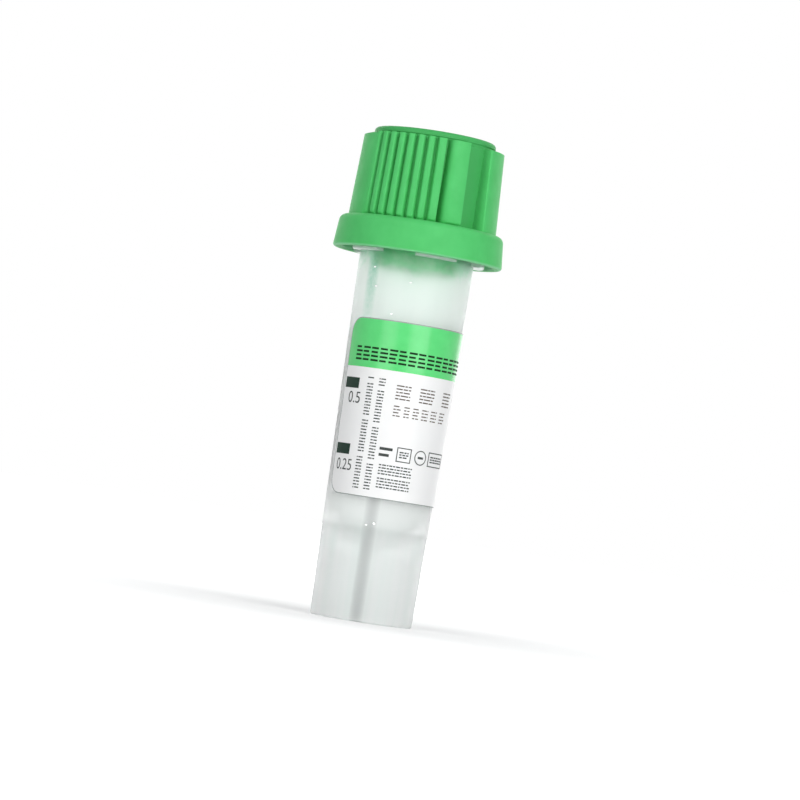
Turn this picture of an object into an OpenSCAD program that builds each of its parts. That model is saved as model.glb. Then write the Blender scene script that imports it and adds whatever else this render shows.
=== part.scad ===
// Small capped blood collection tube. A moulded tube stands on an open skirt, a ribbed cap
// with an inner plug pulls off its neck, and a label wraps most of its shank.
// Millimetres, +Z up, origin at the centre of the base rim.
// Angles run anticlockwise from the front, seen from above; the front faces -Y.

/* [Tube] */
// Height of the shank, from the base rim to the cap's lip
shank_h = 32.9; // [28:0.1:42]
// Outer diameter at the base rim
base_d = 9.2; // [8.4:0.1:11.5]
// Outer diameter of the shank at the cap's lip
shoulder_d = 10.3; // [9.8:0.1:13]
// Diameter of the chamber where its round bottom starts
bore_foot_d = 7.0; // [5:0.1:7.6]
// Diameter of the mouth, which the cap's plug fits
bore_mouth_d = 7.8; // [6.5:0.1:9]
// Height of the chamber's lowest inner point above the base rim
floor_h = 7.6; // [5:0.1:11]
// Thickness of the round bottom under the chamber
floor_t = 1.0; // [0.6:0.1:1.6]
// Wall of the neck inside the cap
neck_wall = 0.8; // [0.6:0.05:1.4]
// Chamfer round the rim of the base
rim_chamfer = 0.2; // [0.1:0.05:0.4]

/* [Skirt under the chamber] */
// Wall of the open skirt
skirt_wall = 1.0; // [0.6:0.05:1.3]
// Number of fins inside the skirt
fin_count = 4; // [3:1:6]
// Thickness of a fin
fin_t = 0.5; // [0.4:0.05:0.9]
// Height of the fins' lower edges above the base rim
fin_lift = 0.6; // [0.2:0.1:2]
// Angle of the first fin
fin_angle = -10; // [-45:1:45]

/* [Collar lugs] */
// Number of lugs round the shoulder, inside the cap's lip
lug_count = 5; // [3:1:6]
// Width of a lug
lug_span = 38; // [20:1:50]
// Angle of the first lug's middle
lug_angle = 17; // [-90:1:90]
// How far a lug stands out from the shank
lug_reach = 0.95; // [0.4:0.05:1.5]
// How far the lugs hang below the cap's lip
lug_drop = 0.2; // [0:0.05:0.6]
// Height of a lug
lug_h = 1.8; // [1:0.1:2.2]

/* [Cap] */
// Height of the cap, from its lip to the top disc
cap_h = 11.1; // [9:0.1:15]
// Clearance round the neck and round the plug
fit_gap = 0.05; // [0.03:0.01:0.09]
// Wall of the cap's body between the grips
body_wall = 0.75; // [0.6:0.05:1.5]
// Height of the raised top disc above the grips
disc_h = 0.65; // [0.3:0.05:1.2]
// Rounding of the disc's edge
disc_round = 0.5; // [0.2:0.05:0.6]
// Thickness of the cap between the mouth's rim and the top of the grips
roof_t = 0.8; // [0.6:0.05:1.5]
// Thickness of the top over the plug's hollow
top_t = 1.0; // [0.6:0.05:1.4]
// Length of the plug below the mouth's rim
plug_h = 10.9; // [3:0.1:12]
// Wall of the plug
plug_wall = 0.75; // [0.5:0.05:1.2]
// Lead-in chamfer at the plug's tip
plug_lead = 0.3; // [0.1:0.05:0.4]

/* [Cap lip] */
// Height of the lip band
lip_h = 2.95; // [2.6:0.05:4]
// Wall of the lip
lip_wall = 0.8; // [0.6:0.05:1.4]
// Clearance between the collar lugs and the lip
lug_gap = 0.75; // [0.3:0.05:1.2]
// Thickness of the web that joins the lip to the cap's body
web_t = 0.8; // [0.6:0.05:1]
// Rounding of the lip's upper edge
lip_round = 0.6; // [0.2:0.05:1]
// Inward slope of the lip's outside, over its height
lip_draft = 0.2; // [0:0.05:0.4]

/* [Cap grip] */
// Depth of the grips at the top
grip_top_depth = 0.95; // [0.6:0.05:1.2]
// Depth of the grips at the foot
grip_foot_depth = 1.2; // [0.7:0.05:1.4]
// Number of fine ribs in each of the two groups
rib_count = 7; // [3:1:7]
// Angle from one fine groove to the next
rib_pitch = 8.4; // [6:0.1:8.4]
// Angle of the first fine groove
rib_start = -48.8; // [-60:0.1:-40]
// Width of a fine groove at its mouth
groove_w = 0.42; // [0.3:0.02:0.5]
// Width of a fine groove at its root
groove_root_w = 0.24; // [0.1:0.02:0.3]
// Depth of a fine groove
groove_depth = 0.5; // [0.3:0.05:0.7]
// Where the wide groove beside the fine ribs ends
gap_end = 17.5; // [14:0.5:22]
// Where the plain ridge ends and the recess starts
ridge_end = 30.5; // [26:0.5:36]
// Where the recess ends and the broad wing starts
recess_end = 54; // [45:1:65]

/* [Label] */
// Height of the label's lower edge above the base rim
label_z = 11.0; // [8:0.1:13]
// Height of the label
label_h = 15.8; // [8:0.1:17]
// Thickness of the label
label_t = 0.1; // [0.06:0.01:0.2]
// Angle of the label's first edge
label_start = -66; // [-180:1:180]
// How far the label wraps round the tube
label_span = 292; // [60:1:330]
// Rounding of the label's corners
label_corner_r = 1.1; // [0.4:0.1:2]
// Film of glue between the label and the tube
glue_t = 0.01; // [0.01:0.01:0.03]

/* [Hidden] */
$fn = 96;

front = -90;
past = 1;
overlap = 0.1;
lug_root = 0.3;
corner_ease = 0.02;
plug_tip_gap = 0.5;

base_r = base_d / 2;
shoulder_r = shoulder_d / 2;
bore_foot_r = bore_foot_d / 2;
bore_mouth_r = bore_mouth_d / 2;
neck_r = bore_mouth_r + neck_wall;
skirt_r = base_r - skirt_wall;
chamber_z = floor_h + bore_foot_r;
shoulder_z = shank_h - lug_drop + lug_h;
mouth_z = shank_h + cap_h - disc_h - roof_t;
land_h = plug_h + plug_tip_gap;

lug_r = max(shoulder_r, neck_r) + lug_reach;

sleeve_r = neck_r + fit_gap;
body_r = sleeve_r + body_wall;
plug_r = bore_mouth_r - fit_gap;
grip_top_r = body_r + grip_top_depth;
grip_foot_r = body_r + grip_foot_depth;
grip_z = shank_h + lip_h;
grip_top_z = mouth_z + roof_t;
cap_top_z = shank_h + cap_h;
lip_bore_r = lug_r + lug_gap;
lip_foot_r = max(lip_bore_r + lip_wall, grip_foot_r + lip_round + lip_draft);
lip_top_r = lip_foot_r - lip_draft;

// Outer radius of the shank at height z
function shank_r(z) = base_r + (shoulder_r - base_r) * z / shank_h;

// The quarter of a circle of radius r on the side where x is above 0
module half_disc(r) {
    intersection() {
        circle(r);
        translate([0, -r]) square([r, 2 * r]);
    }
}

// Outside of the tube, as a half section
module tube_outline() {
    polygon([
        [0, 0],
        [base_r - rim_chamfer, 0],
        [base_r, rim_chamfer],
        [shoulder_r, shank_h],
        [shoulder_r, shoulder_z],
        [neck_r, shoulder_z],
        [neck_r, mouth_z],
        [0, mouth_z]
    ]);
}

// Chamber with a round bottom, a slight taper and a straight land for the plug
module chamber_outline() {
    land_z = mouth_z - land_h;
    translate([0, chamber_z]) half_disc(bore_foot_r);
    polygon([
        [0, chamber_z],
        [bore_foot_r, chamber_z],
        [bore_mouth_r, land_z],
        [bore_mouth_r, mouth_z + past],
        [0, mouth_z + past]
    ]);
}

// Hollow of the skirt, up to the outside of the round bottom
module skirt_outline() {
    difference() {
        translate([0, -past]) square([skirt_r, chamber_z + past]);
        translate([0, chamber_z]) half_disc(bore_foot_r + floor_t);
    }
}

// Fins that cross in the skirt and carry the round bottom
module fins() {
    for (i = [0 : fin_count - 1])
        rotate([0, 0, front + fin_angle + i * 360 / fin_count])
            translate([0, -fin_t / 2, fin_lift])
                cube([skirt_r + skirt_wall / 2, fin_t, floor_h - floor_t / 2 - fin_lift]);
}

// Lugs that ring the shoulder inside the cap's lip
module lugs() {
    root_r = shoulder_r - lug_root;
    for (i = [0 : lug_count - 1])
        rotate([0, 0, front + lug_angle - lug_span / 2 + i * 360 / lug_count])
            rotate_extrude(angle = lug_span)
                translate([root_r, shank_h - lug_drop])
                    square([lug_r - root_r, lug_h]);
}

module tube() {
    color([0.87, 0.91, 0.88]) {
        rotate_extrude()
            difference() {
                tube_outline();
                chamber_outline();
                skirt_outline();
            }
        fins();
        lugs();
    }
}

// Lip band with its rounded upper edge, over the collar lugs
module lip() {
    rotate_extrude()
        difference() {
            union() {
                polygon([
                    [sleeve_r, shank_h],
                    [lip_foot_r, shank_h],
                    [lip_top_r, grip_z - lip_round],
                    [lip_top_r - lip_round, grip_z],
                    [sleeve_r, grip_z]
                ]);
                translate([lip_top_r - lip_round, grip_z - lip_round]) circle(lip_round);
            }
            translate([0, shank_h - past]) square([lip_bore_r, past + lip_h - web_t]);
        }
}

// Body sleeve, top and hollow plug
module cap_core() {
    rotate_extrude()
        difference() {
            union() {
                translate([0, shank_h + lip_h - web_t])
                    square([body_r, cap_h - lip_h + web_t - disc_round]);
                translate([0, cap_top_z - disc_round])
                    square([body_r - disc_round, disc_round]);
                translate([body_r - disc_round, cap_top_z - disc_round]) circle(disc_round);
            }
            translate([0, shank_h - past]) square([sleeve_r, mouth_z - shank_h + past]);
            translate([0, mouth_z - past])
                square([plug_r - plug_wall, cap_top_z - top_t - mouth_z + past]);
        }
    rotate_extrude()
        polygon([
            [plug_r - plug_wall, mouth_z],
            [plug_r - plug_wall, mouth_z - plug_h],
            [plug_r - plug_lead, mouth_z - plug_h],
            [plug_r, mouth_z - plug_h + plug_lead],
            [plug_r, mouth_z]
        ]);
}

// A cut round part of the grips, past the cap's body and the lip, between two angles
module grip_cut(from, to) {
    rotate([0, 0, from])
        rotate_extrude(angle = to - from)
            translate([body_r - overlap, grip_z - overlap])
                square([grip_foot_depth + overlap + past, cap_h]);
}

// One fine upright groove, wider at its mouth, that slopes with the grips' outside
module fine_groove() {
    height = grip_top_z - grip_z;
    lean = atan((grip_foot_depth - grip_top_depth) / height);
    flare = (groove_w - groove_root_w) / 2 / groove_depth;
    mouth_w = groove_root_w + 2 * flare * (groove_depth + past);
    translate([grip_foot_r - groove_depth, 0, grip_z])
        rotate([0, -lean, 0])
            linear_extrude(height + past)
                polygon([
                    [0, -groove_root_w / 2],
                    [groove_depth + past, -mouth_w / 2],
                    [groove_depth + past, mouth_w / 2],
                    [0, groove_root_w / 2]
                ]);
}

// Two equal sets of grips: a broad wing, fine ribs, a wide groove, a ridge and a recess
module grips() {
    difference() {
        rotate_extrude()
            polygon([
                [body_r - 2 * overlap, grip_z - 2 * overlap],
                [grip_foot_r, grip_z - 2 * overlap],
                [grip_foot_r, grip_z],
                [grip_top_r, grip_top_z],
                [body_r - 2 * overlap, grip_top_z]
            ]);
        for (side = [0, 180])
            rotate([0, 0, front + side]) {
                for (i = [0 : rib_count - 1])
                    rotate([0, 0, rib_start + i * rib_pitch]) fine_groove();
                grip_cut(rib_start + rib_count * rib_pitch, gap_end);
                grip_cut(ridge_end, recess_end);
            }
    }
}

module cap() {
    color([0.31, 0.72, 0.38]) {
        lip();
        cap_core();
        grips();
    }
}

// What rounds one corner of the label: a square less a quarter circle, pushed outwards
module corner_cut(angle, z, turn_y, turn_z) {
    inset = label_corner_r - corner_ease;
    rotate([0, 0, front + angle])
        translate([base_r - past, 0, z])
            rotate([90, 0, 90])
                linear_extrude(shoulder_r - base_r + 3 * past)
                    scale([turn_y, turn_z])
                        difference() {
                            translate([-past, -past]) square(inset + past);
                            translate([inset, inset]) circle(label_corner_r);
                        }
}

module label() {
    top_z = label_z + label_h;
    inner_foot = shank_r(label_z) + glue_t;
    inner_top = shank_r(top_z) + glue_t;
    color([0.97, 0.97, 0.96])
        difference() {
            rotate([0, 0, front + label_start])
                rotate_extrude(angle = label_span)
                    polygon([
                        [inner_foot, label_z],
                        [inner_foot + label_t, label_z],
                        [inner_top + label_t, top_z],
                        [inner_top, top_z]
                    ]);
            corner_cut(label_start, label_z, 1, 1);
            corner_cut(label_start, top_z, 1, -1);
            corner_cut(label_start + label_span, label_z, -1, 1);
            corner_cut(label_start + label_span, top_z, -1, -1);
        }
}

tube();
cap();
label();
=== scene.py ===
"""A small capped blood collection tube: frosted tube, ribbed green cap and printed label.

Sizes are in millimetres until mm() turns them into metres. Heights are above the base rim, and
angles run anticlockwise from the front, seen from above. The front faces -Y. A name that ends in
_R is a radius, in _Z, _FOOT or _TOP a height, in _T a thickness, and in _ANGLE an angle.
"""
import math

import bpy
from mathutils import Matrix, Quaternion, Vector


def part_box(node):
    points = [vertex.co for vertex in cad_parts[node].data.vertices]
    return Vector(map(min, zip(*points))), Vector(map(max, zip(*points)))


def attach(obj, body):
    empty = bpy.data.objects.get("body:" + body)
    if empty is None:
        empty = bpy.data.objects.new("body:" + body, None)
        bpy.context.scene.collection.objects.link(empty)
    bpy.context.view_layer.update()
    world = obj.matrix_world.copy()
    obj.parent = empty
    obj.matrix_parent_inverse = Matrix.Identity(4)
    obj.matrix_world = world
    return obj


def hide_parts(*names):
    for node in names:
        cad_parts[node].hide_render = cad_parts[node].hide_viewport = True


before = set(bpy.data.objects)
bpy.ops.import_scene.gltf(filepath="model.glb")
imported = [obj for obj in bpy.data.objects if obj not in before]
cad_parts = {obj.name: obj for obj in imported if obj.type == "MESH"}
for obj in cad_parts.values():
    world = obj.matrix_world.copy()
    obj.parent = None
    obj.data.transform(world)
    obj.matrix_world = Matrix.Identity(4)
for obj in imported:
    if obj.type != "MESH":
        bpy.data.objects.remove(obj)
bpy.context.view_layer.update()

PER_METRE = 1000


def mm(value):
    """Metres from millimetres."""
    return value / PER_METRE


# --- Sizes ----------------------------------------------------------------------------------

cap_low, cap_high = (corner * PER_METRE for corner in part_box("cap"))
tube_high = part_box("tube")[1] * PER_METRE
label_low, label_high = (corner * PER_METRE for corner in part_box("label"))

# Tube: a tapered shank on an open skirt, with a chamber, a shoulder and a neck. From LAND_Z up
# the bore is straight, for the cap's plug.
CAP_H = 11.1
LIP_Z = cap_high.z - CAP_H
PLUG_TIP = cap_low.z
MOUTH_Z = tube_high.z
BASE_R = 4.6
SHOULDER_R = 5.15
SHANK_RINGS = range(30, 2, -3)
BORE_FOOT_R = 3.5
BORE_MOUTH_R = 3.9
LAND_Z = PLUG_TIP - 0.5
NECK_R = 4.7
RIM_ROUND = 0.2
SKIRT_R = 3.6
SKIRT_RINGS = (3, 6)
FLOOR_Z = 7.6
FLOOR_T = 1.0
CHAMBER_Z = FLOOR_Z + BORE_FOOT_R

# Lugs round the shoulder, just under the cap's lip
LUG_COUNT = 5
LUG_SPAN = 38
LUG_ANGLE = 17
LUG_FOOT = LIP_Z - 0.13
LUG_TOP = LUG_FOOT + 1.8
LUG_REACH = 0.95
LUG_ROUND = 0.14

# Crossed fins in the skirt, sunk into its wall
FIN_T = 0.5
FIN_FOOT = 0.6
FIN_ANGLE = -10
FIN_SINK = 0.5
FIN_ROUND = 0.16

# Specks, as (angle, height, radius); the balls are bigger than the specks and partly sunk
SPECKS = ((-44, 31.35, 0.09), (-2.5, 30.35, 0.09), (-39, 29.65, 0.08), (-17, 27.35, 0.09),
          (-10, 8.6, 0.09), (-1.8, 8.8, 0.13))
BALL_SHARE = 1.3
SINK_SHARE = 0.6

# Cap: a disc on a gripped body, a lip below it, and a sleeve and a hollow plug inside
CAP_TOP = cap_high.z
LIP_FOOT_R = (cap_high.x - cap_low.x) / 2
LIP_TOP_R = LIP_FOOT_R - 0.2
LIP_BORE_R = LIP_FOOT_R - 0.8
LIP_ROUND = 0.6
LIP_EDGE_ROUND = 0.22
GRIP_FOOT = LIP_Z + 2.95
GRIP_TOP = CAP_TOP - 0.65
WEB_Z = GRIP_FOOT - 0.8
BODY_R = 5.5
DISC_ROUND = 0.34
DISC_GROOVE = 0.1
DISC_GROOVE_Z = GRIP_TOP + 0.07
SLEEVE_R = 4.75
PLUG_R = 3.85
PLUG_BORE_R = 3.1
PLUG_LEAD = 0.3
HOLLOW_TOP = CAP_TOP - 1.0
INNER_ROUND = 0.2

# The core that is cut out of the grips, so that they reach just into the cap's body
CORE_R = BODY_R - 0.5
CORE_H = 20

# Grips, drawn for half a turn: fine ribs, a gap, a ridge, a recess and then the wing
GRIP_FOOT_R = 6.7
GRIP_TOP_R = 6.45
GRIP_SINK = 0.3
FOOT_ROUND = 0.6
FOOT_DEPTH = 0.34
FOOT_SHARES = (0, 0.1, 0.3, 0.6)
TOP_EASE = 0.09
RIB_COUNT = 7
RIB_PITCH = 8.4
RIB_START = -48.8
RIBS_EDGE = RIB_START - 5
GROOVE_W = 0.42
GROOVE_ROOT_W = 0.2
GROOVE_DEPTH = 0.58
GAP_START = 9.8
GAP_LEAD = 0.5
GAP_FLOOR_R = 5.45
GAP_FLOOR_END = 11.0
GAP_END = 15.9
RIDGE_END = 30.5
RECESS_END = 54
RECESS_SINK = 0.06
WING_DROP = 0.17
WING_STEP = 3

# Width and steps of the rounding of each kind of upright edge on the grips
SOFTENING = {"rib": (0.14, 3), "root": (0.06, 2), "ridge": (0.45, 6), "crisp": (0.05, 2),
             "wing": (0.13, 3)}

# Label: a sheet with a rim painted grey as the shadow along its edge, a green band above BAND_Z,
# and print on it. Faces of the sheet under RIM_AREA square millimetres belong to the rim.
LABEL_FOOT = label_low.z
LABEL_TOP = label_high.z
LABEL_MID = (LABEL_FOOT + LABEL_TOP) / 2
LABEL_T = 0.1
GLUE_T = 0.01
LABEL_START = -66
LABEL_SPAN = 292
LABEL_CORNER = 1.45
LABEL_RIM = 0.09
RIM_AREA = 100
BAND_Z = 22.4
INK_T = 0.012

# Sides of a turned piece, degrees between the slices of a wrapped one, how far off a face, an
# edge or a corner still counts as being at a place, and how close two corners are merged
SIDES = 180
WRAP_STEP = 2
NEAR = 0.1
VERY_NEAR = 0.01
MERGE = 0.002


def shank_r(z):
    """Outer radius of the tapered shank at height z."""
    return BASE_R + (SHOULDER_R - BASE_R) * z / LIP_Z


def label_r(z):
    """Outer radius of the label at height z."""
    return shank_r(z) + GLUE_T + LABEL_T


def around(angle, radius, z):
    """Point in metres at an angle from the front, a radius and a height."""
    turn = math.radians(angle - 90)
    return Vector((mm(radius) * math.cos(turn), mm(radius) * math.sin(turn), mm(z)))


def angle_of(point):
    """Angle from the front, from -180 to 180 degrees, of a point round the axis."""
    return math.degrees(math.atan2(point.x, -point.y))


def reach_of(point):
    """Distance in millimetres of a point from the axis."""
    return math.hypot(point.x, point.y) * PER_METRE


# --- Modelling helpers ----------------------------------------------------------------------


def pick(piece):
    """Selects one piece alone and makes it the active one."""
    bpy.ops.object.select_all(action="DESELECT")
    bpy.context.view_layer.objects.active = piece
    piece.select_set(True)


def edit(piece):
    """Enters edit mode on one piece, with nothing in it selected."""
    pick(piece)
    bpy.ops.object.mode_set(mode="EDIT")
    bpy.ops.mesh.select_all(action="DESELECT")


def leave_edit():
    """Goes back to object mode."""
    bpy.ops.object.mode_set(mode="OBJECT")


def select_parts(piece, kind, test):
    """Selects the vertices, edges or polygons of a piece, in edit mode, by their middle."""
    modes = {"vertices": "VERT", "edges": "EDGE", "polygons": "FACE"}
    bpy.ops.mesh.select_mode(type=modes[kind])
    bpy.ops.mesh.select_all(action="DESELECT")
    leave_edit()
    corners = piece.data.vertices
    for part in getattr(piece.data, kind):
        if kind == "vertices":
            part.select = test(part.co)
        else:
            middle = sum((corners[i].co for i in part.vertices), Vector()) / len(part.vertices)
            part.select = test(middle)
    bpy.ops.object.mode_set(mode="EDIT")


def arc(centre_r, centre_z, radius, start, end, steps):
    """Outline points (radius, height) along an arc, between two angles in degrees."""
    turns = [math.radians(start + (end - start) * i / steps) for i in range(steps + 1)]
    return [(centre_r + radius * math.cos(t), centre_z + radius * math.sin(t)) for t in turns]


def draw_line(name, points):
    """New piece that is one line of edges through (x, y, z) points; it stays in edit mode."""
    bpy.ops.object.select_all(action="DESELECT")
    bpy.ops.mesh.primitive_plane_add(size=mm(1), location=(0, 0, 0))
    piece = bpy.context.object
    piece.name = name
    bpy.ops.object.mode_set(mode="EDIT")
    bpy.ops.mesh.select_mode(type="VERT")
    bpy.ops.mesh.select_all(action="SELECT")
    bpy.ops.mesh.merge(type="CENTER")
    bpy.ops.transform.translate(value=[mm(value) for value in points[0]])
    for here, there in zip(points, points[1:]):
        step = [mm(b - a) for a, b in zip(here, there)]
        bpy.ops.mesh.extrude_region_move(TRANSFORM_OT_translate={"value": step})
    return piece


def close_up(piece):
    """Merges doubled vertices and turns the faces outwards, so that the highest one looks up."""
    bpy.ops.mesh.select_all(action="SELECT")
    bpy.ops.mesh.remove_doubles(threshold=mm(MERGE))
    bpy.ops.mesh.normals_make_consistent(inside=False)
    leave_edit()
    highest = max(piece.data.polygons, key=lambda face: face.center.z)
    if highest.normal.z < 0:
        bpy.ops.object.mode_set(mode="EDIT")
        bpy.ops.mesh.flip_normals()
        leave_edit()


def turned(name, outline):
    """A piece turned on a lathe from an outline of (radius, height) points."""
    piece = draw_line(name, [(radius, 0, z) for radius, z in outline])
    bpy.ops.mesh.select_all(action="SELECT")
    bpy.ops.mesh.spin(steps=SIDES, angle=math.tau, center=(0, 0, 0), axis=(0, 0, 1))
    close_up(piece)
    return piece


def apply_modifier(piece, kind, **settings):
    """Adds a modifier to a piece with its settings, and applies it."""
    modifier = piece.modifiers.new(kind.lower(), kind)
    for key, value in settings.items():
        setattr(modifier, key, value)
    pick(piece)
    bpy.ops.object.modifier_apply(modifier=modifier.name)


def combine(piece, other, operation):
    """Joins another piece to this one, or cuts it away, and removes it."""
    apply_modifier(piece, "BOOLEAN", object=other, operation=operation, solver="EXACT")
    bpy.data.objects.remove(other)


def smooth(piece, angle):
    """Smooth shading, with the edges sharper than an angle left crisp."""
    pick(piece)
    bpy.ops.object.shade_smooth_by_angle(angle=math.radians(angle))


# --- Tube -----------------------------------------------------------------------------------


def tube_outline():
    """Half section, from the chamber's floor up the bore, over the mouth and down to the skirt."""
    wall = BORE_FOOT_R + FLOOR_T
    skirt_top = math.degrees(math.acos(SKIRT_R / wall))
    lip = RIM_ROUND
    return (
        arc(0, CHAMBER_Z, BORE_FOOT_R, -90, 0, 14)
        + [(BORE_MOUTH_R, LAND_Z), (BORE_MOUTH_R, MOUTH_Z - lip)]
        + arc(BORE_MOUTH_R + lip, MOUTH_Z - lip, lip, 180, 90, 4)
        + arc(NECK_R - lip, MOUTH_Z - lip, lip, 90, 0, 4)
        + [(NECK_R, LUG_TOP), (SHOULDER_R, LUG_TOP), (shank_r(LUG_FOOT), LUG_FOOT)]
        + [(shank_r(z), z) for z in SHANK_RINGS]
        + arc(BASE_R - RIM_ROUND, RIM_ROUND, RIM_ROUND, 0, -90, 5)
        + arc(SKIRT_R + RIM_ROUND, RIM_ROUND, RIM_ROUND, -90, -180, 5)
        + [(SKIRT_R, z) for z in SKIRT_RINGS]
        + arc(0, CHAMBER_Z, wall, -skirt_top, -90, 10)
    )


def make_fins():
    """Crossed plates that stand in the skirt under the chamber, with rounded lower edges."""
    top = FLOOR_Z - FLOOR_T / 2
    plates = []
    for turn in (0, 90):
        bpy.ops.object.select_all(action="DESELECT")
        bpy.ops.mesh.primitive_cube_add(size=1, location=(0, 0, mm((FIN_FOOT + top) / 2)))
        plate = bpy.context.object
        plate.dimensions = (mm(FIN_T), mm(2 * (SKIRT_R + FIN_SINK)), mm(top - FIN_FOOT))
        plate.rotation_euler.z = math.radians(FIN_ANGLE + turn)
        bpy.ops.object.transform_apply(location=True, rotation=True, scale=True)
        edit(plate)
        select_parts(plate, "edges", lambda middle: (
            middle.z < mm(FIN_FOOT + NEAR) and reach_of(middle) < FIN_T))
        bpy.ops.mesh.bevel(offset=mm(FIN_ROUND), segments=3, affect="EDGES")
        leave_edit()
        plates.append(plate)
    combine(plates[0], plates[1], "UNION")
    return plates[0]


def raise_lugs(tube):
    """Pulls the collar lugs out of the shoulder and softens their outer edges."""

    def in_lug(middle):
        """Whether a face's middle lies on the shoulder, where a lug grows out of it."""
        turn = (angle_of(middle) - LUG_ANGLE + LUG_SPAN / 2) % (360 / LUG_COUNT)
        return (turn < LUG_SPAN and LUG_FOOT < middle.z * PER_METRE < LUG_TOP - NEAR
                and reach_of(middle) > NECK_R + NEAR)

    edit(tube)
    select_parts(tube, "polygons", in_lug)
    bpy.ops.mesh.extrude_region_move(TRANSFORM_OT_translate={"value": (0, 0, 0)})
    grow = 1 + LUG_REACH / SHOULDER_R
    bpy.ops.transform.resize(value=(grow, grow, 1), center_override=(0, 0, 0))
    bpy.ops.mesh.region_to_loop()
    bpy.ops.mesh.bevel(offset=mm(LUG_ROUND), segments=3, affect="EDGES")
    leave_edit()


def make_tube(plastic, thick_plastic, floor_plastic):
    """The tube with its fins and lugs; the lugs and the chamber's floor get their own finish."""
    tube = turned("tube_shell", tube_outline())
    combine(tube, make_fins(), "UNION")
    raise_lugs(tube)
    smooth(tube, 35)
    tube.data.materials.clear()
    for material in (plastic, thick_plastic, floor_plastic):
        tube.data.materials.append(material)
    for face in tube.data.polygons:
        reach = reach_of(face.center)
        at_floor = SKIRT_RINGS[-1] < face.center.z * PER_METRE < CHAMBER_Z
        if reach > SHOULDER_R + NEAR / 2:
            face.material_index = 1
        elif at_floor and reach < SKIRT_R + NEAR / 2:
            face.material_index = 2
    return tube


def make_specks():
    """A few tiny bright bubbles at the tube's surface."""
    pieces = []
    for angle, z, radius in SPECKS:
        bpy.ops.object.select_all(action="DESELECT")
        bpy.ops.mesh.primitive_ico_sphere_add(
            subdivisions=2, radius=mm(radius * BALL_SHARE),
            location=around(angle, shank_r(z) - radius * SINK_SHARE, z))
        bpy.ops.object.transform_apply(location=True)
        pieces.append(bpy.context.object)
    pick(pieces[0])
    for piece in pieces:
        piece.select_set(True)
    bpy.ops.object.join()
    pieces[0].name = "white_specks"
    smooth(pieces[0], 60)
    return pieces[0]


# --- Cap ------------------------------------------------------------------------------------


def cap_outline():
    """Half section of the cap without its grips, from the top's centre round to the plug."""
    edge = LIP_EDGE_ROUND
    lead = PLUG_LEAD
    small = INNER_ROUND
    return (
        [(0, CAP_TOP), (BODY_R / 2, CAP_TOP)]
        + arc(BODY_R - DISC_ROUND, CAP_TOP - DISC_ROUND, DISC_ROUND, 90, 0, 8)
        + [(BODY_R, DISC_GROOVE_Z + DISC_GROOVE), (BODY_R - DISC_GROOVE, DISC_GROOVE_Z),
           (BODY_R - DISC_GROOVE, GRIP_TOP - DISC_GROOVE), (BODY_R, GRIP_TOP - 2 * DISC_GROOVE),
           (BODY_R, GRIP_FOOT)]
        + arc(LIP_TOP_R - LIP_ROUND, GRIP_FOOT - LIP_ROUND, LIP_ROUND, 90, 3, 9)
        + arc(LIP_FOOT_R - edge, LIP_Z + edge, edge, 3, -90, 6)
        + arc(LIP_BORE_R + edge, LIP_Z + edge, edge, -90, -180, 5)
        + arc(LIP_BORE_R - small, WEB_Z - small, small, 0, 90, 4)
        + arc(SLEEVE_R + small, WEB_Z + small, small, -90, -180, 3)
        + [(SLEEVE_R, MOUTH_Z), (PLUG_R, MOUTH_Z)]
        + arc(PLUG_R - lead, PLUG_TIP + lead, lead, 0, -90, 5)
        + arc(PLUG_BORE_R + small, PLUG_TIP + small, small, -90, -180, 4)
        + arc(PLUG_BORE_R - small, HOLLOW_TOP - small, small, 0, 90, 3)
        + [(0, HOLLOW_TOP)]
    )


def grip_corners():
    """Corners of one half of the grips, seen from above, as (angle, radius, softening)."""
    outer = GRIP_FOOT_R
    root_r = outer - GROOVE_DEPTH
    sunk_r = BODY_R - RECESS_SINK
    mouth = math.degrees(GROOVE_W / 2 / outer)
    root = math.degrees(GROOVE_ROOT_W / 2 / root_r)
    corners = []
    for i in range(RIB_COUNT):
        middle = RIB_START + i * RIB_PITCH
        corners += [(middle - mouth, outer, "rib"), (middle - root, root_r, "root"),
                    (middle + root, root_r, "root"), (middle + mouth, outer, "rib")]
    corners += [(GAP_START, outer, "rib"), (GAP_START + GAP_LEAD, GAP_FLOOR_R, ""),
                (GAP_FLOOR_END, GAP_FLOOR_R, ""),
                (GAP_END, outer, "ridge"), ((GAP_END + RIDGE_END) / 2, outer, ""),
                (RIDGE_END, outer, "crisp"), (RIDGE_END, sunk_r, ""),
                (RECESS_END, sunk_r, ""), (RECESS_END, outer, "wing")]
    wing_angles = range(RECESS_END + 2 * WING_STEP, round(RIB_START + 180 - mouth), WING_STEP)
    return corners + [(angle, outer, "") for angle in wing_angles]


def half_angle(place):
    """Angle of a place within its half of the grips, which starts at -60 degrees."""
    return (angle_of(place) + 60) % 180 - 60


def soften_grips(grips, corners, middle_z):
    """Rounds the upright edges of the grips, each kind by its own width."""
    lean = (1 + GRIP_TOP_R / GRIP_FOOT_R) / 2
    for kind, (width, steps) in SOFTENING.items():
        places = [around(angle, radius * lean, middle_z) for angle, radius, name in corners
                  if name == kind]
        edit(grips)
        select_parts(grips, "edges", lambda middle: (
            any((place - middle).length < mm(2 * VERY_NEAR) for place in places)))
        bpy.ops.mesh.bevel(offset=mm(width), segments=steps, affect="EDGES")
        leave_edit()


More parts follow.
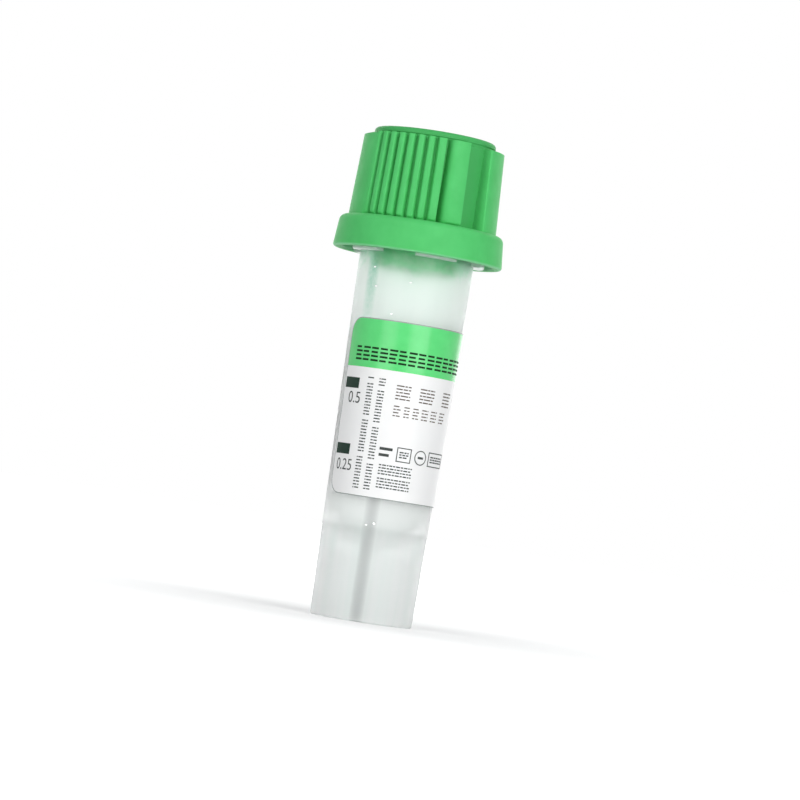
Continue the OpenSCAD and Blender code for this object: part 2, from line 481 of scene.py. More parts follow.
def round_grip_ends(grips):
    """Rounds in the feet of the ribs and the ridge, and eases the top edge of every grip."""
    feet = [(share * FOOT_ROUND, 1 - math.sqrt(1 - (1 - share) ** 2)) for share in FOOT_SHARES]
    edit(grips)
    for z in [GRIP_FOOT + rise for rise, depth in feet] + [GRIP_TOP - TOP_EASE]:
        bpy.ops.mesh.select_all(action="SELECT")
        bpy.ops.mesh.bisect(plane_co=(0, 0, mm(z)), plane_no=(0, 0, 1))
    for rise, depth in feet:
        level = GRIP_FOOT + rise

        def at_foot(place):
            """Whether a corner of the ribs or the ridge is on this level, or below the first."""
            on_level = abs(place.z * PER_METRE - level) < VERY_NEAR
            below = rise == 0 and place.z * PER_METRE < GRIP_FOOT
            return (on_level or below) and RIBS_EDGE < half_angle(place) < RIDGE_END + 1

        select_parts(grips, "vertices", at_foot)
        shrink = 1 - FOOT_DEPTH * depth / GRIP_FOOT_R
        bpy.ops.transform.resize(value=(shrink, shrink, 1), center_override=(0, 0, 0))
    select_parts(grips, "vertices", lambda place: place.z * PER_METRE > GRIP_TOP - VERY_NEAR)
    shrink = 1 - TOP_EASE / GRIP_TOP_R
    bpy.ops.transform.resize(value=(shrink, shrink, 1), center_override=(0, 0, 0))
    select_parts(grips, "vertices", lambda place: (
        place.z * PER_METRE > GRIP_TOP - TOP_EASE - VERY_NEAR
        and not RIBS_EDGE < half_angle(place) < RECESS_END - 1))
    bpy.ops.transform.translate(value=(0, 0, -mm(WING_DROP)))
    leave_edit()


def make_grips():
    """Ring of grips, drawn from above, drawn up with a slope and softened along its edges."""
    corners = [(angle + side, radius, kind) for side in (0, 180)
               for angle, radius, kind in grip_corners()]
    start_z = GRIP_FOOT - GRIP_SINK
    grips = draw_line("grips", [around(angle, radius, start_z) * PER_METRE
                                for angle, radius, kind in corners])
    bpy.ops.mesh.select_all(action="SELECT")
    bpy.ops.mesh.edge_face_add()
    rise = mm(GRIP_TOP - start_z)
    bpy.ops.mesh.extrude_region_move(TRANSFORM_OT_translate={"value": (0, 0, rise)})
    slope = GRIP_TOP_R / GRIP_FOOT_R
    bpy.ops.transform.resize(value=(slope, slope, 1), center_override=(0, 0, 0))
    bpy.ops.mesh.select_all(action="SELECT")
    bpy.ops.mesh.normals_make_consistent(inside=False)
    leave_edit()
    soften_grips(grips, corners, (start_z + GRIP_TOP) / 2)
    round_grip_ends(grips)
    bpy.ops.object.select_all(action="DESELECT")
    bpy.ops.mesh.primitive_cylinder_add(
        vertices=SIDES, radius=mm(CORE_R), depth=mm(CORE_H), location=(0, 0, mm(GRIP_FOOT)))
    core = bpy.context.object
    combine(grips, core, "DIFFERENCE")
    return grips


def make_cap():
    """The turned cap with its grips joined on."""
    cap = turned("cap_shell", cap_outline())
    combine(cap, make_grips(), "UNION")
    smooth(cap, 32)
    return cap


# --- Label and print ------------------------------------------------------------------------
# The label and its print are drawn flat, facing the front, with the label's middle height at 0.
# Angles become lengths at the label's middle radius. wrap() then bends them round the tube.

WRAP_R = label_r(LABEL_MID)

# Print, with its sides as angles. A figure is (text, left, right, low, high), and a column of fine
# print is (middle, first split).
DASH_GAP = 0.9
MARK_SIDES = (-63, -41.5)
MARK_FEET = (20.45, 14.55)
MARK_LINE = 0.95
FIGURES = (("0.5", -54, -37.5, 19.15, 20.15), ("0.25", -58.4, -36.2, 13.15, 14.15))
FIGURE_WEIGHT = -0.004
BLOCK_COUNT = 16
BLOCK_START = -51.3
BLOCK_PITCH = 9.8
BLOCK_WIDTH = 8.2
BLOCK_FOOT = 23.0
BLOCK_ROW = 0.36
BLOCK_LINE = 0.175
BLOCK_BARS = ((1, 0.88, 1, 0.8), (0.9, 1, 0.82, 1), (1, 0.95, 0.86, 0.92), (0.84, 1, 1, 0.9),
              (1, 0.8, 0.94, 1))
COLUMNS = ((-27.7, 0), (-15.3, 2))
COLUMN_HALF = 3.4
COLUMN_FOOT = 11.7
COLUMN_TOP = 21.5
COLUMN_LINE = 0.11
COLUMN_ROW = 0.27
PARAGRAPH_ROW = 0.56
PARAGRAPH_ROWS = 11
WORD_SPLITS = (1.6, 4.6, 2.9, 7.4, 5.2)
WORD_GAP = 0.4
SIGN_FOOT = 14.5
SIGN_TOP = 15.8
SIGN_LINE = 0.09
UPPER_WORDS = ((0, 15), (25, 42.5), (55.7, 71))
LOWER_WORDS = ((0, 7.3), (10.9, 16.6), (20.4, 27), (30.4, 37.9), (41.8, 49.9), (54.8, 64))


def flat(angle, z, depth=0.0):
    """Place on the flat drawing of an angle and a height; depth goes into the tube."""
    return Vector((mm(WRAP_R * math.radians(angle)), mm(depth), mm(z - LABEL_MID)))


def wrap(piece):
    """Slices a flat drawing every few degrees, and bends it round the tapered tube."""
    edit(piece)
    low = min(corner.co.x for corner in piece.data.vertices)
    high = max(corner.co.x for corner in piece.data.vertices)
    step = mm(WRAP_R * math.radians(WRAP_STEP))
    for i in range(math.ceil(low / step), math.floor(high / step) + 1):
        bpy.ops.mesh.select_all(action="SELECT")
        bpy.ops.mesh.bisect(plane_co=(i * step, 0, 0), plane_no=(1, 0, 0))
    leave_edit()
    apply_modifier(piece, "SIMPLE_DEFORM", deform_method="BEND", deform_axis="Z",
                   angle=(high - low) / mm(WRAP_R))
    edit(piece)
    bpy.ops.mesh.select_all(action="SELECT")
    bpy.ops.transform.translate(value=(0, -mm(WRAP_R), 0))
    leave_edit()
    taper = (label_r(LABEL_TOP) - label_r(LABEL_FOOT)) / (LABEL_TOP - LABEL_FOOT) / WRAP_R
    apply_modifier(piece, "SIMPLE_DEFORM", deform_method="TAPER", deform_axis="Z",
                   factor=taper * piece.dimensions.z * PER_METRE)
    edit(piece)
    bpy.ops.mesh.select_all(action="SELECT")
    bpy.ops.transform.translate(value=(0, 0, mm(LABEL_MID)))
    leave_edit()


def start_drawing(name):
    """Empty piece for a flat drawing; it stays in edit mode."""
    bpy.ops.object.select_all(action="DESELECT")
    bpy.ops.mesh.primitive_plane_add(size=mm(1), location=(0, 0, 0))
    piece = bpy.context.object
    piece.name = name
    bpy.ops.object.mode_set(mode="EDIT")
    bpy.ops.mesh.delete(type="VERT")
    return piece


def add_bar(left, right, low, high):
    """Adds a plain bar to the drawing in edit mode, between two angles and two heights."""
    middle = flat((left + right) / 2, (low + high) / 2)
    bpy.ops.mesh.primitive_plane_add(size=mm(1), location=middle, rotation=(math.pi / 2, 0, 0))
    width = WRAP_R * math.radians(right - left)
    bpy.ops.transform.resize(value=(width, 1, high - low), center_override=middle)


def add_frame(left, right, low, high, line):
    """Adds an outlined box; line is its stroke in millimetres."""
    stroke = math.degrees(line / WRAP_R)
    add_bar(left, right, low, low + line)
    add_bar(left, right, high - line, high)
    add_bar(left, left + stroke, low + line, high - line)
    add_bar(right - stroke, right, low + line, high - line)


def add_ring(angle, z, radius, line):
    """Adds a round outline; line is its stroke in millimetres."""
    middle = flat(angle, z)
    bpy.ops.mesh.primitive_circle_add(vertices=32, radius=mm(radius), fill_type="NGON",
                                      location=middle, rotation=(math.pi / 2, 0, 0))
    bpy.ops.mesh.inset(thickness=mm(line))
    bpy.ops.mesh.delete(type="FACE")


def add_dashes(left, right, low, rows, pitch, line, lengths):
    """Adds close rows of uneven dashes, from one angle to another, that stand for words."""
    for row in range(rows):
        start = left
        i = row * 2
        while right - start > DASH_GAP:
            end = min(start + lengths[i % len(lengths)], right)
            add_bar(start, end, low + row * pitch, low + row * pitch + line)
            start = end + DASH_GAP
            i += 1


def finish_print(piece, ink):
    """Bends a drawing round the tube, and gives it the thickness of ink."""
    leave_edit()
    wrap(piece)
    apply_modifier(piece, "SOLIDIFY", thickness=mm(INK_T), offset=1)
    piece.data.materials.clear()
    piece.data.materials.append(ink)


def make_label(paper, band, rim):
    """Sheet with rounded corners, a coloured band along its top and a painted shadow rim all
    round.
    """
    sheet = start_drawing("label_sheet")
    end = LABEL_START + LABEL_SPAN
    middle = flat((LABEL_START + end) / 2, LABEL_MID, LABEL_T)
    bpy.ops.mesh.primitive_plane_add(size=mm(1), location=middle, rotation=(math.pi / 2, 0, 0))
    width = WRAP_R * math.radians(LABEL_SPAN)
    bpy.ops.transform.resize(value=(width, 1, LABEL_TOP - LABEL_FOOT), center_override=middle)
    bpy.ops.mesh.bevel(offset=mm(LABEL_CORNER), segments=8, affect="VERTICES")
    bpy.ops.mesh.inset(thickness=mm(LABEL_RIM))
    bpy.ops.mesh.select_all(action="SELECT")
    bpy.ops.mesh.bisect(plane_co=(0, 0, mm(BAND_Z - LABEL_MID)), plane_no=(0, 0, 1))
    leave_edit()
    for material in (paper, band, rim):
        sheet.data.materials.append(material)
    for face in sheet.data.polygons:
        if face.area * PER_METRE ** 2 > RIM_AREA:
            face.material_index = 1 if face.center.z > mm(BAND_Z - LABEL_MID) else 0
        else:
            face.material_index = 2
    wrap(sheet)
    apply_modifier(sheet, "SOLIDIFY", thickness=mm(LABEL_T), offset=1)
    smooth(sheet, 40)
    return sheet


def make_fill_marks(ink):
    """Two solid fill marks beside the label's first edge."""
    marks = start_drawing("fill_marks")
    for low in MARK_FEET:
        add_bar(*MARK_SIDES, low, low + MARK_LINE)
    finish_print(marks, ink)
    return marks


def make_figures(ink):
    """The plain numbers under the fill marks."""
    pieces = []
    for body, left, right, low, high in FIGURES:
        bpy.ops.object.select_all(action="DESELECT")
        bpy.ops.object.text_add(location=(0, 0, 0))
        bpy.context.object.data.body = body
        bpy.context.object.data.align_x = "CENTER"
        bpy.context.object.data.offset = FIGURE_WEIGHT
        bpy.ops.object.convert(target="MESH")
        figure = bpy.context.object
        width = mm(WRAP_R * math.radians(right - left))
        figure.rotation_euler.x = math.pi / 2
        figure.scale = (width / figure.dimensions.x, mm(high - low) / figure.dimensions.y, 1)
        figure.location = flat((left + right) / 2, low)
        bpy.ops.object.transform_apply(location=True, rotation=True, scale=True)
        pieces.append(figure)
    pick(pieces[0])
    pieces[1].select_set(True)
    bpy.ops.object.join()
    pieces[0].name = "fill_figures"
    edit(pieces[0])
    finish_print(pieces[0], ink)
    return pieces[0]


def make_heading(ink):
    """Heading of small bold blocks in the green band, each of four bars."""
    heading = start_drawing("heading_strokes")
    for block in range(BLOCK_COUNT):
        left = BLOCK_START + block * BLOCK_PITCH
        for row, share in enumerate(BLOCK_BARS[block % len(BLOCK_BARS)]):
            low = BLOCK_FOOT + row * BLOCK_ROW
            add_bar(left, left + share * BLOCK_WIDTH, low, low + BLOCK_LINE)
    finish_print(heading, ink)
    return heading


def make_small_print(ink):
    """Two columns of fine print beside the marks, and two rows of words at the foot."""
    lines = start_drawing("small_print")
    for middle, i in COLUMNS:
        left, right = middle - COLUMN_HALF, middle + COLUMN_HALF
        z = COLUMN_FOOT
        while z < COLUMN_TOP:
            split = left + WORD_SPLITS[i % len(WORD_SPLITS)]
            add_bar(left, min(split, right) - WORD_GAP, z, z + COLUMN_LINE)
            if split < right - 1:
                add_bar(split + WORD_GAP, right, z, z + COLUMN_LINE)
            i += 1
            z += COLUMN_ROW if i % PARAGRAPH_ROWS else PARAGRAPH_ROW
    for low in (13.2, 12.0):
        add_dashes(-5.9, 29.5, low, 4, 0.26, 0.115, (2.4, 3.9, 1.7, 3.0, 2.2, 4.4))
    finish_print(lines, ink)
    return lines


def make_signs(ink):
    """Row of plain signs: a mark of two bars, a box, a ringed bar and a wider box."""
    signs = start_drawing("sign_row")
    add_bar(-7.9, 5.6, 15.35, 15.6)
    add_bar(-7.9, 2.6, 14.8, 15.05)
    add_frame(10.2, 26, SIGN_FOOT, SIGN_TOP, SIGN_LINE)
    add_dashes(13.2, 23, 14.87, 3, 0.22, 0.12, (3.1, 4.2, 2.3))
    add_ring(37.6, 15.15, 0.66, SIGN_LINE)
    add_bar(34.2, 41, 15.05, 15.25)
    add_frame(48.2, 80, SIGN_FOOT, SIGN_TOP, SIGN_LINE)
    add_dashes(51.5, 77, 14.87, 3, 0.22, 0.12, (4.1, 5.2, 3.3))
    finish_print(signs, ink)
    return signs


def make_title(ink):
    """Two rows of large, light words in the middle of the label."""
    title = start_drawing("title_strokes")
    for left, right in UPPER_WORDS:
        add_dashes(left, right, 19.95, 5, 0.29, 0.11, (3.4, 6.3, 4.4, 7.6, 2.5))
    for left, right in LOWER_WORDS:
        add_dashes(left, right, 18.45, 4, 0.28, 0.10, (2.4, 4.3, 5.6, 3.4))
    finish_print(title, ink)
    return title


# --- Camera, lamps and floor ----------------------------------------------------------------

EYE_DISTANCE = 333
EYE_HEIGHT = 9.5
AIM = (0.45, 0.0, 20.1)
VIEW_WIDTH = 71.7
LEAN = 8.85
SENSOR = 36.0

# Lamps, as (name, angle, distance, height, width, length, watts)
LAMPS = (("softbox_left", -31, 420, 120, 240, 420, 0.78),
         ("softbox_right", 31, 420, 140, 320, 420, 1.4),
         ("softbox_back_left", -160, 480, 160, 400, 400, 0.5),
         ("softbox_back_right", 160, 480, 160, 400, 400, 0.5))
LAMP_AIM_Z = 22
FLOOR_SIZE = 4000
NEAREST_SEEN = 10


def aim_at(thing, target):
    """Turns a lamp or camera so that its -Z points at target."""
    thing.rotation_mode = "QUATERNION"
    thing.rotation_quaternion = (target - thing.location).to_track_quat("-Z", "Y")


def make_camera():
    """Camera in front of the tube, a little below its middle, turned so that the tube leans."""
    bpy.ops.object.camera_add(location=(mm(AIM[0]), mm(-EYE_DISTANCE), mm(EYE_HEIGHT)))
    camera = bpy.context.object
    target = Vector([mm(value) for value in AIM])
    aim_at(camera, target)
    roll = Quaternion((0, 0, 1), math.radians(LEAN))
    camera.rotation_quaternion = camera.rotation_quaternion @ roll
    camera.data.sensor_width = SENSOR
    camera.data.lens = SENSOR * (target - camera.location).length / mm(VIEW_WIDTH)
    camera.data.clip_start = mm(NEAREST_SEEN)
    bpy.context.scene.camera = camera


def make_softbox(name, angle, distance, height, width, length, watts):
    """Rectangular lamp aimed at the tube's middle; no camera sees it, even through the tube."""
    bpy.ops.object.light_add(type="AREA", location=around(angle, distance, height))
    lamp = bpy.context.object
    lamp.name = name
    lamp.data.shape = "RECTANGLE"
    lamp.data.size = mm(width)
    lamp.data.size_y = mm(length)
    lamp.data.energy = watts
    lamp.visible_camera = False
    lamp.visible_transmission = False
    aim_at(lamp, Vector((0, 0, mm(LAMP_AIM_Z))))


# --- Materials ------------------------------------------------------------------------------

# Bending power (IOR) of the tube's wall, of the floor of its chamber and of its lugs
WALL_BEND = 1.38
FLOOR_BEND = 1.06
LUG_BEND = 1.47

# Painted light and shade in the tube's wall, as (angle, width) in degrees, between two distances
# from the axis: a streak of green light from the cap, and a grey band of shade where a fin shows
# through
GREEN_LIGHT_STREAK = (-46, 9)
FIN_SHADE_BAND = (-6, 8.5)
PAINTED_LIGHT_REACH = (4.3, 4.5)


def put(tree, kind, inputs=None, **settings):
    """Adds a node; an input is a value, or another node's output to link from."""
    node = tree.nodes.new("ShaderNode" + kind)
    for key, value in settings.items():
        setattr(node, key, value)
    for key, value in (inputs or {}).items():
        if isinstance(value, bpy.types.NodeSocket):
            tree.links.new(value, node.inputs[key])
        else:
            node.inputs[key].default_value = value
    return node


def new_group(name, inputs, outputs):
    """Shader node group with named number inputs and outputs, plus a Vector input."""
    group = bpy.data.node_groups.new(name, "ShaderNodeTree")
    group.interface.new_socket("Vector", in_out="INPUT", socket_type="NodeSocketVector")
    for key, value in inputs.items():
        socket = group.interface.new_socket(key, in_out="INPUT", socket_type="NodeSocketFloat")
        socket.default_value = value
    for key in outputs:
        group.interface.new_socket(key, in_out="OUTPUT", socket_type="NodeSocketFloat")
    given = group.nodes.new("NodeGroupInput").outputs
    result = group.nodes.new("NodeGroupOutput").inputs
    return group, given, result


def moulded_skin():
    """Fine spark-eroded grain and slow clouding, as on moulded plastic."""
    group, given, result = new_group("moulded_skin", {"Grain size": 0.1, "Cloud size": 2.0},
                                     ("Grain", "Clouds"))
    for key, size, detail in (("Grain", "Grain size", 3.0), ("Clouds", "Cloud size", 2.0)):
        metres = put(group, "Math", {0: float(PER_METRE), 1: given[size]}, operation="DIVIDE")
        noise = put(group, "TexNoise", {"Vector": given["Vector"], "Scale": metres.outputs[0],
                                        "Detail": detail})
        group.links.new(noise.outputs["Fac"], result[key])
    return group


def run_lines():
    """Soft upright streaks, as plastic or varnish leaves when it runs along a tube."""
    group, given, result = new_group("run_lines", {"Width": 0.6}, ("Lines",))
    squeezed = put(group, "Mapping", {"Vector": given["Vector"], "Scale": (1.0, 1.0, 0.04)})
    metres = put(group, "Math", {0: float(PER_METRE), 1: given["Width"]}, operation="DIVIDE")
    noise = put(group, "TexNoise", {"Vector": squeezed.outputs[0], "Scale": metres.outputs[0],
                                    "Detail": 2.0})
    spread = put(group, "MapRange", {"Value": noise.outputs["Fac"], "From Min": 0.35,
                                     "From Max": 0.65})
    group.links.new(spread.outputs[0], result["Lines"])
    return group


def place(tree, group, **values):
    """Puts a node group in a material, on Object coordinates."""
    node = tree.nodes.new("ShaderNodeGroup")
    node.node_tree = group
    where = put(tree, "TexCoord")
    tree.links.new(where.outputs["Object"], node.inputs["Vector"])
    for key, value in values.items():
        node.inputs[key.replace("_", " ")].default_value = value
    return node.outputs


def start_material(name, **constants):
    """New material; the constants are set on its Principled shader's own sockets."""
    material = bpy.data.materials.new(name)
    material.use_nodes = True
    shader = material.node_tree.nodes["Principled BSDF"]
    for key, value in constants.items():
        shader.inputs[key.replace("_", " ")].default_value = value
    return material, material.node_tree, shader


def colour_mix(tree, mask, first, second):
    """Colour that goes from first to second as the mask goes from 0 to 1."""
    mix = tree.nodes.new("ShaderNodeMix")
    mix.data_type = "RGBA"
    tree.links.new(mask, mix.inputs["Factor"])
    for key, colour in (("A", first), ("B", second)):
        socket = [s for s in mix.inputs if s.name == key and s.type == "RGBA"][0]
        if isinstance(colour, bpy.types.NodeSocket):
            tree.links.new(colour, socket)
        else:
            socket.default_value = (*colour, 1)
    return [s for s in mix.outputs if s.type == "RGBA"][0]


def ranged(tree, value, low, high):
    """Value from low to high as a mask goes from 0 to 1."""
    return put(tree, "MapRange", {"Value": value, "To Min": low, "To Max": high}).outputs[0]


def bumped(tree, height, depth):
    """Normal from a height map; depth is in millimetres."""
    return put(tree, "Bump", {"Height": height, "Strength": 1.0, "Distance": mm(depth)}).outputs[0]


def height_mask(tree, low, high, waver=None, swing=0.0):
    """Goes from 0 at one height to 1 at another; waver moves the edge up to swing millimetres."""
    where = put(tree, "TexCoord")
    height = put(tree, "SeparateXYZ", {"Vector": where.outputs["Object"]}).outputs["Z"]
    if waver:
        height = put(tree, "Math", {0: waver, 1: mm(swing), 2: height},
                     operation="MULTIPLY_ADD").outputs[0]
    return put(tree, "MapRange", {"Value": height, "From Min": mm(low),
                                  "From Max": mm(high)}).outputs[0]


def both(tree, first, second):
    """Mask where two masks meet."""
    return put(tree, "Math", {0: first, 1: second}, operation="MULTIPLY").outputs[0]


def reach_mask(tree, near, far):
    """Goes from 0 at one distance from the axis to 1 at another, in millimetres."""
    where = put(tree, "TexCoord")
    level = put(tree, "VectorMath", {0: where.outputs["Object"], 1: (1.0, 1.0, 0.0)},
                operation="MULTIPLY")
    reach = put(tree, "VectorMath", {0: level.outputs[0]}, operation="LENGTH")
    return put(tree, "MapRange", {"Value": reach.outputs["Value"], "From Min": mm(near),
                                  "From Max": mm(far)}).outputs[0]


def side_mask(tree, angle, width):
    """1 along an upright line on the tube's side, 0 beyond width degrees from it."""
    where = put(tree, "TexCoord")
    level = put(tree, "VectorMath", {0: where.outputs["Object"], 1: (1.0, 1.0, 0.0)},
                operation="MULTIPLY")
    outward = put(tree, "VectorMath", {0: level.outputs[0]}, operation="NORMALIZE")
    turn = math.radians(angle)
    near = put(tree, "VectorMath", {0: outward.outputs[0],
                                    1: (math.sin(turn), -math.cos(turn), 0.0)},
               operation="DOT_PRODUCT")
    return put(tree, "MapRange", {"Value": near.outputs["Value"], "To Max": 1.0,
                                  "From Min": math.cos(math.radians(width)),
                                  "From Max": 1.0}).outputs[0]


def cap_plastic(skin):
    """Satin moulded plastic; painted shade on the sunk faces, painted light inside the lip and on
    its edge.
    """
    material, tree, shader = start_material(
        "cap_plastic", Subsurface_Weight=0.1, Subsurface_Scale=mm(0.6), Specular_IOR_Level=0.2)
    shader.inputs["Subsurface Radius"].default_value = (0.4, 1.0, 0.5)
    marks = place(tree, skin, Grain_size=0.16, Cloud_size=1.6)
    body = colour_mix(tree, marks["Clouds"], (0.067, 0.490, 0.122), (0.098, 0.598, 0.173))
    # inside: paler green inside the lip and on the plug, a painted glow of light through the thin
    # wall
    inside = both(tree, reach_mask(tree, LIP_BORE_R + 0.1, LIP_BORE_R),
                  height_mask(tree, WEB_Z + 0.3, WEB_Z + 0.1))
    # sunk: faces sunk towards the cap's body above the lip, darkened with painted shade
    sunk = both(tree, reach_mask(tree, BODY_R + 0.85, BODY_R + 0.3),
                height_mask(tree, GRIP_FOOT - 0.1, GRIP_FOOT + 0.1))
    sunk_shaded = colour_mix(tree, ranged(tree, sunk, 0.0, 0.8), body, (0.055, 0.38, 0.10))
    # edge: the lip's lower outer edge, lightened with a painted highlight
    edge = both(tree, reach_mask(tree, LIP_FOOT_R - 0.32, LIP_FOOT_R - 0.2),
                height_mask(tree, LIP_Z + 0.2, LIP_Z + 0.06))
    edge_lit = colour_mix(tree, edge, sunk_shaded, (0.24, 0.72, 0.34))
    tree.links.new(colour_mix(tree, inside, edge_lit, (0.30, 0.80, 0.42)),
                   shader.inputs["Base Color"])
    tree.links.new(ranged(tree, marks["Grain"], 0.48, 0.60), shader.inputs["Roughness"])
    tree.links.new(bumped(tree, marks["Grain"], 0.006), shader.inputs["Normal"])
    return material


def tube_plastic(name, skin, lines, bend, foot_shade):
    """Natural plastic with a frosted look and soft upright streaks.

    The chamber's foot is darkened with painted shade. Towards the lip the wall gets clearer, and
    slightly green with painted green light from the cap, most of all at the collar. A streak of
    painted green light runs at the left of the neck, and below the label a grey band of painted
    shade shows a fin through the wall.
    """
    material, tree, shader = start_material(
        name, Transmission_Weight=0.9, IOR=bend, Specular_IOR_Level=0.5)
    marks = place(tree, skin, Grain_size=0.3, Cloud_size=1.1)
    runs = place(tree, lines, Width=1.0)
    plain = colour_mix(tree, runs["Lines"], (0.905, 0.945, 0.93), (1.0, 1.0, 1.0))
    # foot: the chamber's foot, darkened with painted shade
    foot = both(tree, height_mask(tree, FLOOR_Z, FLOOR_Z + 1.5),
                height_mask(tree, CHAMBER_Z + 2, CHAMBER_Z))
    foot_shaded = colour_mix(tree, foot, plain, foot_shade)
    # Painted green light from the cap, in clouds, over the ten millimetres under the lip
    cap_green_light = height_mask(tree, LIP_Z - 10, LIP_Z, marks["Clouds"], 2.0)
    cap_green_lit = colour_mix(tree, cap_green_light, foot_shaded, (0.92, 0.99, 0.95))
    # A broken streak of painted green light from the cap, on the outer wall at the left, above the
    # label
    broken = both(tree, side_mask(tree, *GREEN_LIGHT_STREAK), ranged(tree, marks["Grain"], 0.3, 1.4))
    streak = both(tree, broken, both(tree, reach_mask(tree, *PAINTED_LIGHT_REACH),
                                     height_mask(tree, LABEL_TOP - 3, LIP_Z - 2)))
    streaked = colour_mix(tree, streak, cap_green_lit, (0.26, 0.62, 0.45))
    # A grey band of painted shade below the label, where a fin shows through the wall
    fin_shade = both(tree, side_mask(tree, *FIN_SHADE_BAND),
                both(tree, reach_mask(tree, *PAINTED_LIGHT_REACH),
                     height_mask(tree, LABEL_FOOT + 1, LABEL_FOOT)))
    fin_shaded = colour_mix(tree, fin_shade, streaked, (0.58, 0.59, 0.59))
    # collar: painted green light from the cap's lip, in mottled patches at and just under the lip
    collar = both(tree, height_mask(tree, LIP_Z + 0.1, LIP_Z + 1.5, marks["Clouds"], 3.4),
                  height_mask(tree, LIP_Z + 0.9, LIP_Z + 0.2))
    tree.links.new(colour_mix(tree, collar, fin_shaded, (0.45, 0.81, 0.59)),
                   shader.inputs["Base Color"])
    clear = height_mask(tree, LIP_Z - 4, LIP_Z - 1.5)
    rough = put(tree, "Math", {0: clear, 1: -0.12, 2: ranged(tree, marks["Clouds"], 0.41, 0.46)},
                operation="MULTIPLY_ADD")
    tree.links.new(rough.outputs[0], shader.inputs["Roughness"])
    tree.links.new(bumped(tree, marks["Grain"], 0.002), shader.inputs["Normal"])
    return material


def lug_plastic(skin):
    """Thick tube plastic in the collar lugs, so whiter and less clear; painted cap light tints it
    green.
    """
    material, tree, shader = start_material(
        "lug_plastic", Transmission_Weight=0.25, IOR=LUG_BEND, Specular_IOR_Level=0.5)
    marks = place(tree, skin, Grain_size=0.3, Cloud_size=0.8)
    tree.links.new(colour_mix(tree, marks["Clouds"], (0.66, 0.90, 0.74), (0.86, 0.97, 0.91)),
                   shader.inputs["Base Color"])
    tree.links.new(ranged(tree, marks["Clouds"], 0.28, 0.33), shader.inputs["Roughness"])
    return material


def printed(name, skin, dark, light, low, high, shine=0.5, mirror=0.0):
    """Coated film, ink or bubble: two close tones, and a roughness between low and high.

    shine is the strength of the gloss, and mirror is 1 for a silvery surface.
    """
    material, tree, shader = start_material(name, Specular_IOR_Level=shine, Metallic=mirror)
    marks = place(tree, skin, Grain_size=0.09, Cloud_size=1.2)
    tree.links.new(colour_mix(tree, marks["Clouds"], dark, light), shader.inputs["Base Color"])
    tree.links.new(ranged(tree, marks["Grain"], low, high), shader.inputs["Roughness"])
    tree.links.new(bumped(tree, marks["Grain"], 0.004), shader.inputs["Normal"])
    return material


def rays_that_see(tree):
    """1 for rays from the camera, from gloss and through clear plastic, else 0."""
    path = put(tree, "LightPath")
    straight = put(tree, "Math", {0: path.outputs["Is Camera Ray"],
                                  1: path.outputs["Is Glossy Ray"]}, operation="MAXIMUM")
    return put(tree, "Math", {0: straight.outputs[0], 1: path.outputs["Is Transmission Ray"]},
               operation="MAXIMUM").outputs[0]


def floor_paint(skin):
    """Pale floor that keeps the shadow near the tube and goes to white further off."""
    material, tree, shader = start_material("floor_paint", Roughness=0.9, Specular_IOR_Level=0.0)
    marks = place(tree, skin, Grain_size=6.0, Cloud_size=90.0)
    tree.links.new(colour_mix(tree, marks["Clouds"], (0.84, 0.84, 0.84), (0.87, 0.87, 0.87)),
                   shader.inputs["Base Color"])
    where = put(tree, "TexCoord")
    far = put(tree, "VectorMath", {0: where.outputs["Object"]}, operation="LENGTH")
    glow = put(tree, "MapRange", {"Value": far.outputs["Value"], "From Min": mm(10),
                                  "From Max": mm(90), "To Min": 0.35, "To Max": 1.0})
    strength = put(tree, "Math", {0: glow.outputs[0], 1: rays_that_see(tree)},
                   operation="MULTIPLY")
    tree.links.new(strength.outputs[0], shader.inputs["Emission Strength"])
    shader.inputs["Emission Color"].default_value = (1, 1, 1, 1)
    return material


def make_world():
    """Soft room light; white where the camera, gloss and clear plastic look into it."""
    world = bpy.data.worlds.new("studio")
    bpy.context.scene.world = world
    world.use_nodes = True
    tree = world.node_tree
    tree.nodes.clear()
    room = put(tree, "Background", {"Color": (0.95, 0.97, 1.0, 1), "Strength": 0.25})
    white = put(tree, "Background", {"Color": (1, 1, 1, 1), "Strength": 1.0})
    mix = put(tree, "MixShader", {0: rays_that_see(tree), 1: room.outputs[0], 2: white.outputs[0]})
    put(tree, "OutputWorld", {"Surface": mix.outputs[0]})


def make_stage(skin):
    """The lamps, and the floor that the tube stands on."""
    for lamp in LAMPS:
        make_softbox(*lamp)
    bpy.ops.object.select_all(action="DESELECT")
    bpy.ops.mesh.primitive_plane_add(size=mm(FLOOR_SIZE), location=(0, 0, 0))
    floor = bpy.context.object
    floor.name = "floor"
    floor.data.materials.append(floor_paint(skin))


# --- Making the scene -----------------------------------------------------------------------


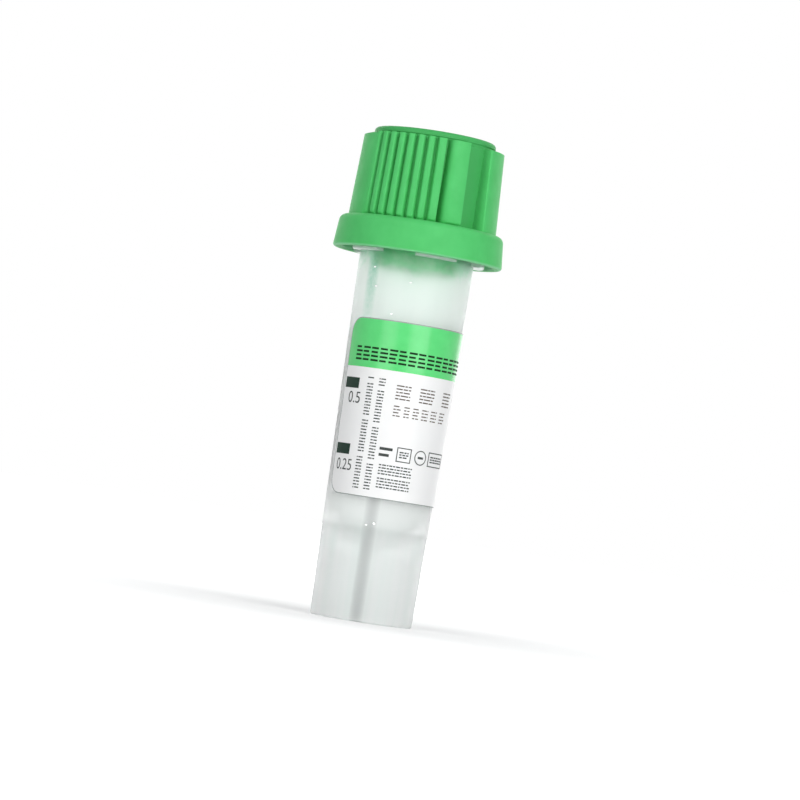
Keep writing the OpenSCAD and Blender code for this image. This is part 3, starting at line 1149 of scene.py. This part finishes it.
def hand_over(piece, body, node, material=None):
    """Gives a finished piece its body and its finish, and hides the node that it stands for."""
    if material:
        piece.data.materials.clear()
        piece.data.materials.append(material)
    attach(piece, body)
    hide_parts(node)


bpy.ops.object.select_all(action="DESELECT")
bpy.context.scene.view_settings.view_transform = "Standard"
skin = moulded_skin()
lines = run_lines()
make_camera()
make_world()
make_stage(skin)

# The foot tones are painted shade: slight in the wall, deeper on the chamber's floor
wall_plastic = tube_plastic("tube_plastic", skin, lines, WALL_BEND, (0.95, 0.97, 0.96))
thick_plastic = lug_plastic(skin)
floor_plastic = tube_plastic("floor_plastic", skin, lines, FLOOR_BEND, (0.80, 0.82, 0.81))
tube = make_tube(wall_plastic, thick_plastic, floor_plastic)
hand_over(tube, "tube_body", "tube")
hand_over(make_cap(), "cap_body", "cap", cap_plastic(skin))

paper = printed("label_paper", skin, (0.885, 0.89, 0.89), (0.92, 0.92, 0.915), 0.3, 0.5)
speck_white = printed("speck_white", skin, (0.97, 0.98, 0.97), (1.0, 1.0, 1.0), 0.2, 0.3,
                      mirror=1.0)
band_green = printed("band_green", skin, (0.075, 0.64, 0.155), (0.11, 0.74, 0.21), 0.16, 0.28)
# Grey of the label's rim: a painted shadow along the label's edge
rim_shadow_grey = printed("label_rim_shadow", skin, (0.24, 0.27, 0.26), (0.36, 0.39, 0.38), 0.4, 0.6)

# Lowest and highest roughness of the inks, and their shine
matt = (0.5, 0.7, 0.15)
ink_black = printed("ink_black", skin, (0.008, 0.026, 0.016), (0.024, 0.050, 0.036), *matt)
ink_grey = printed("ink_grey", skin, (0.045, 0.055, 0.05), (0.08, 0.09, 0.085), *matt)
ink_brown = printed("ink_brown", skin, (0.10, 0.08, 0.065), (0.16, 0.13, 0.11), *matt)
ink_forest = printed("ink_forest", skin, (0.002, 0.020, 0.004), (0.004, 0.034, 0.009), *matt)

hand_over(make_specks(), "tube_body", "tube", speck_white)
hand_over(make_label(paper, band_green, rim_shadow_grey), "tube_body", "label")
prints = [make_fill_marks(ink_black), make_figures(ink_grey), make_small_print(ink_grey),
          make_signs(ink_grey), make_title(ink_brown), make_heading(ink_forest)]
for piece in prints:
    hand_over(piece, "tube_body", "label")
